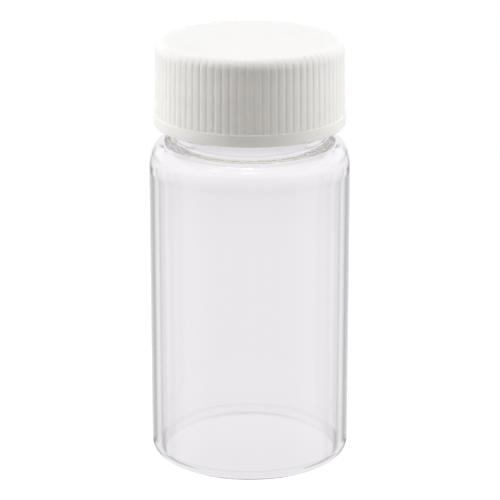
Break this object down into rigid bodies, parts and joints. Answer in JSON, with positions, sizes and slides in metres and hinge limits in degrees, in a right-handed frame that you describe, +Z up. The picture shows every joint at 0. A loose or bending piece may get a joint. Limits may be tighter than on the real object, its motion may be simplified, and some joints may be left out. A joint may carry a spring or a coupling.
{
  "type": "screw-cap glass sample vial",
  "caption": "Clear glass sample vial with a round shoulder, a screw neck and a white ribbed screw cap over a sealing liner.",
  "frame": {"origin": "on the vial's axis, in the plane that its foot stands on", "axes": "+Z up along the vial's axis, from the foot to the cap"},
  "size_m": [0.028, 0.028, 0.0599],
  "materials": {
    "glass": "clear polished",
    "cap_plastic": "white, satin",
    "liner_foam": "white, matt"
  },
  "bodies": {
    "vial": {"glass_vial": "glass"},
    "liner": {"cap_liner": "liner_foam"},
    "cap": {"screw_cap": "cap_plastic"}
  },
  "joints": [
    {"name": "cap_lift", "type": "slide", "parent": "vial", "child": "liner", "axis": [0, 0, 1], "range_m": [0, 0.00953]},
    {"name": "cap_turn", "type": "hinge", "parent": "liner", "child": "cap", "pos_m": [0, 0, 0.0584], "axis": [0, 0, 1], "range_deg": [0, 1080]}
  ],
  "couplings": [
    {"joint": "cap_lift", "follows": "cap_turn", "m_per_rad": 0.00050532}
  ]
}
